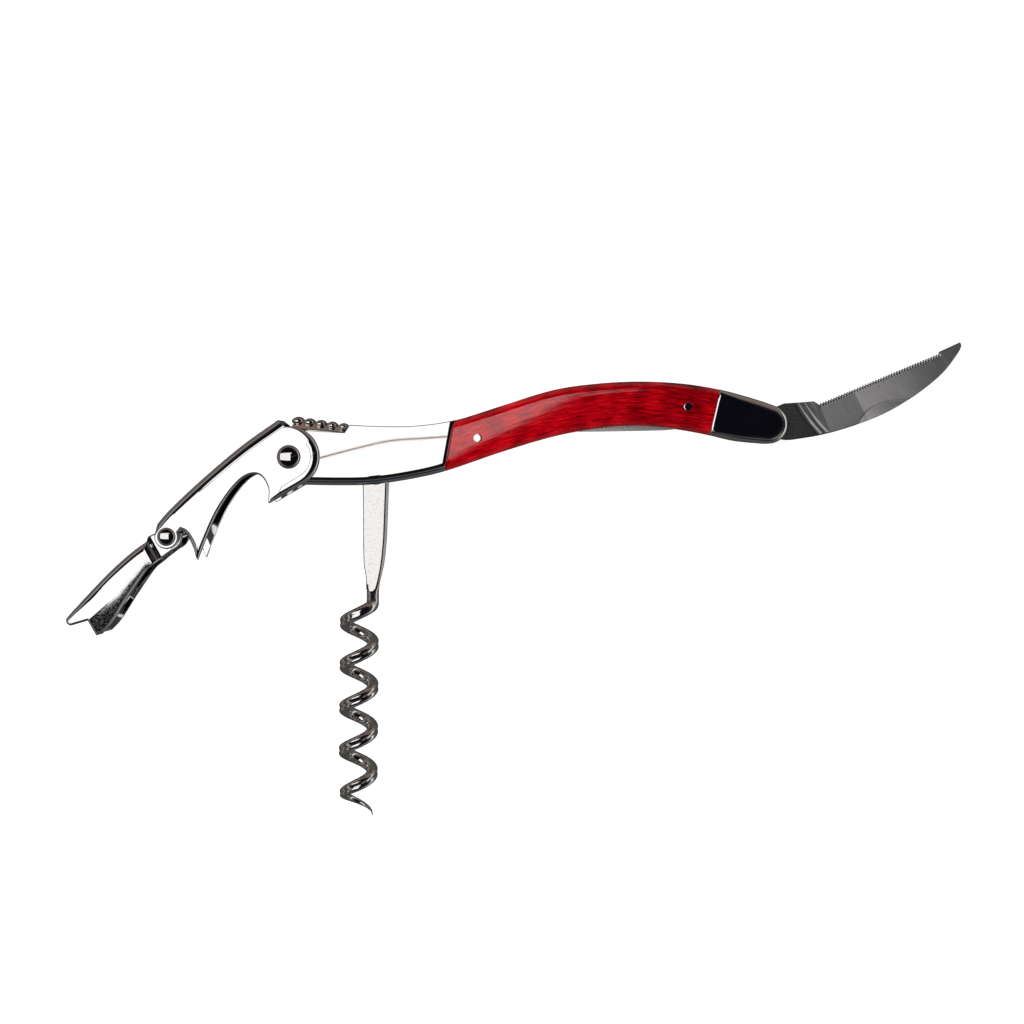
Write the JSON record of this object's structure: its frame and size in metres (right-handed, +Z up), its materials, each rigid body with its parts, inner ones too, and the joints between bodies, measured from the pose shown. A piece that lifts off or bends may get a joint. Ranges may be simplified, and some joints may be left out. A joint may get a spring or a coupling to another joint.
{
  "type": "lever corkscrew",
  "caption": "Folding lever corkscrew: curved red wooden handle with polished steel ends, lever with a hinged second step, worm and serrated foil blade.",
  "frame": {"origin": "middle of the outer box, on the surface that the opened tool lies on", "axes": "+X along the handle towards the blade, +Y away from the worm, across the handle's back, +Z up through the handle's thickness; every hinge turns about Z"},
  "size_m": [0.2046, 0.1088, 0.0163],
  "materials": {
    "polished_steel": "mirror polished stainless steel",
    "lever_steel": "polished folded stainless sheet",
    "rivet_steel": "polished domed rivet heads",
    "cast_steel": "polished ribbed casting, darker between the ribs",
    "liner_steel": "ground steel sheet",
    "spring_steel": "ground and polished spring steel",
    "pin_steel": "peened and polished flush",
    "worm_steel": "polished forged wire, grooved along its outside",
    "blade_steel": "satin ground blade with a polished ricasso",
    "red_wood": "glossy red resin-filled laminated wood with darker grain"
  },
  "bodies": {
    "handle": {"liner_near": "liner_steel", "liner_far": "liner_steel", "back_spring": "spring_steel", "front_spacer": "liner_steel", "thumb_rest": "cast_steel", "front_bolster_near": "polished_steel", "front_bolster_far": "polished_steel", "scale_near": "red_wood", "scale_far": "red_wood", "rear_bolster_near": "polished_steel", "rear_bolster_far": "polished_steel", "lever_rivet": "rivet_steel", "lever_rivet_cap": "rivet_steel", "lever_washer_near": "liner_steel", "lever_washer_far": "liner_steel", "worm_pin": "polished_steel", "blade_pin": "polished_steel", "front_pin": "liner_steel", "scale_pins_near": "pin_steel", "scale_pins_far": "pin_steel"},
    "lever": {"lever": "lever_steel", "step_rivet": "rivet_steel", "step_rivet_cap": "rivet_steel"},
    "second_step": {"second_step": "lever_steel"},
    "corkscrew": {"corkscrew": "worm_steel"},
    "blade": {"foil_blade": "blade_steel"}
  },
  "joints": [
    {"name": "lever_hinge", "type": "hinge", "parent": "handle", "child": "lever", "pos_m": [-0.0516, 0.02803, 0.00815], "axis": [0, 0, 1], "range_deg": [-12, 40]},
    {"name": "step_hinge", "type": "hinge", "parent": "lever", "child": "second_step", "pos_m": [-0.0793, 0.00993, 0.00815], "axis": [0, 0, 1], "range_deg": [-12, 55]},
    {"name": "corkscrew_hinge", "type": "hinge", "parent": "handle", "child": "corkscrew", "pos_m": [-0.0323, 0.02443, 0.00815], "axis": [0, 0, 1], "range_deg": [0, 94]},
    {"name": "blade_hinge", "type": "hinge", "parent": "handle", "child": "blade", "pos_m": [0.0583, 0.03583, 0.00815], "axis": [0, 0, 1], "range_deg": [0, 152]}
  ]
}
